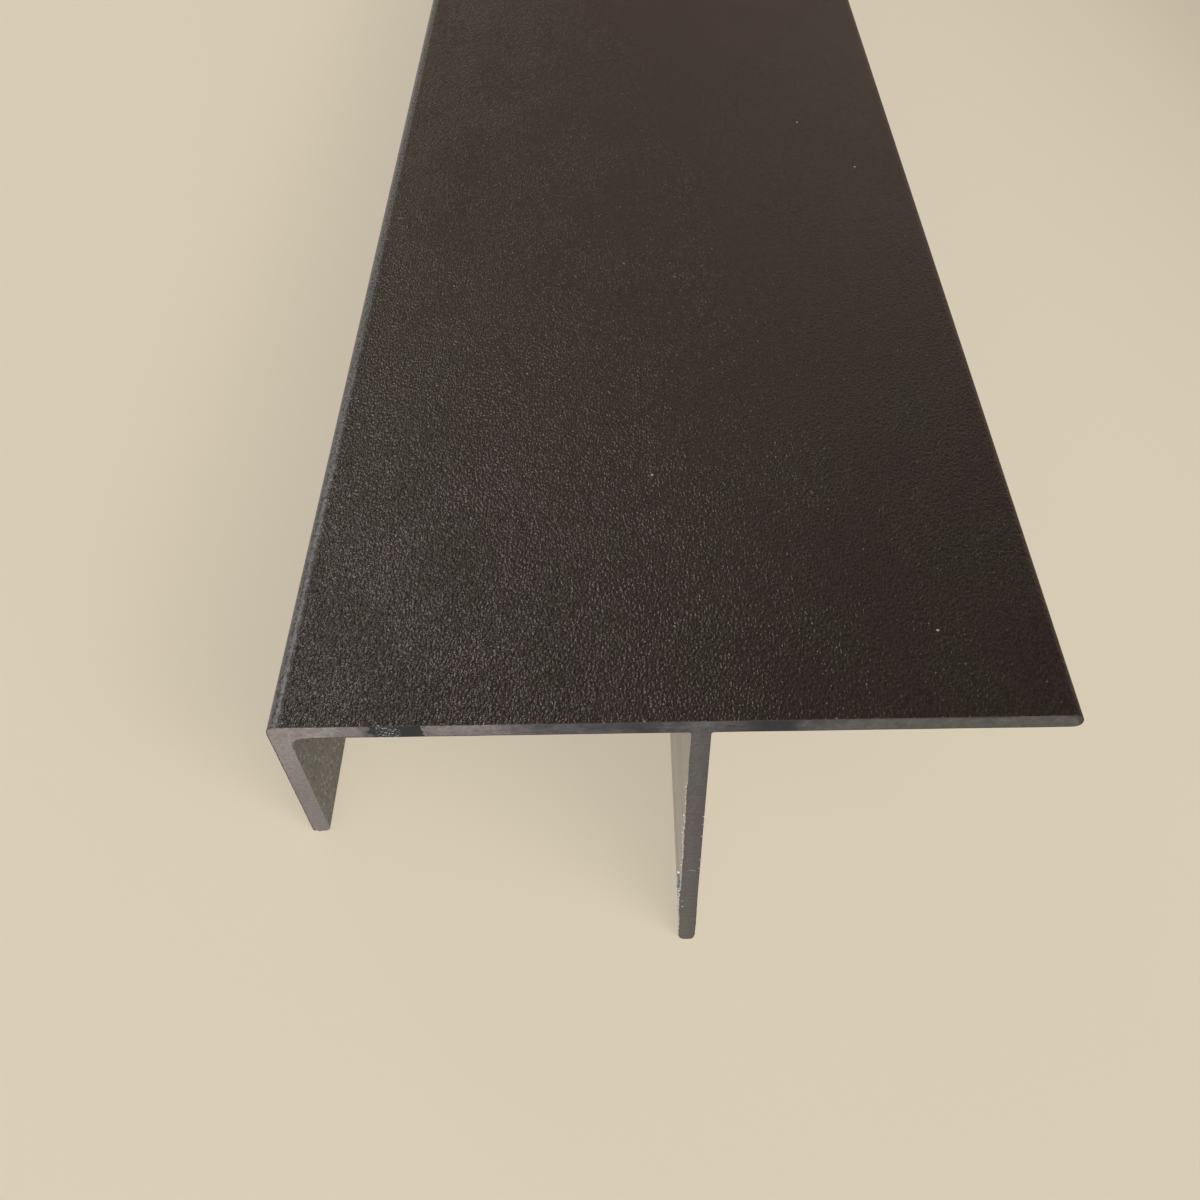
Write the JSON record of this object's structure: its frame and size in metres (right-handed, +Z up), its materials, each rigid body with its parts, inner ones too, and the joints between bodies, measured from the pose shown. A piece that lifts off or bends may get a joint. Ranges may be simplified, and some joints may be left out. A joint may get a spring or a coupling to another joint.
{
  "type": "aluminium extrusion profile",
  "caption": "F-shaped aluminium trim profile: flat coated plate with a short edge leg and a longer inner leg that hold a board between them, and a free lapping flange.",
  "frame": {"origin": "middle of the box's footprint, on the floor that the two leg tips rest on", "axes": "+Y along the length, away from the near sawn end; +Z up; the section leans 37.13 degrees about Y, with the short leg on the -X side and the free flange up on the +X side"},
  "size_m": [0.05, 1, 0.0486],
  "materials": {
    "coated_aluminium": "fine-textured matt powder coat on bare aluminium"
  },
  "bodies": {
    "root": {"extruded_profile": "coated_aluminium"}
  },
  "joints": []
}
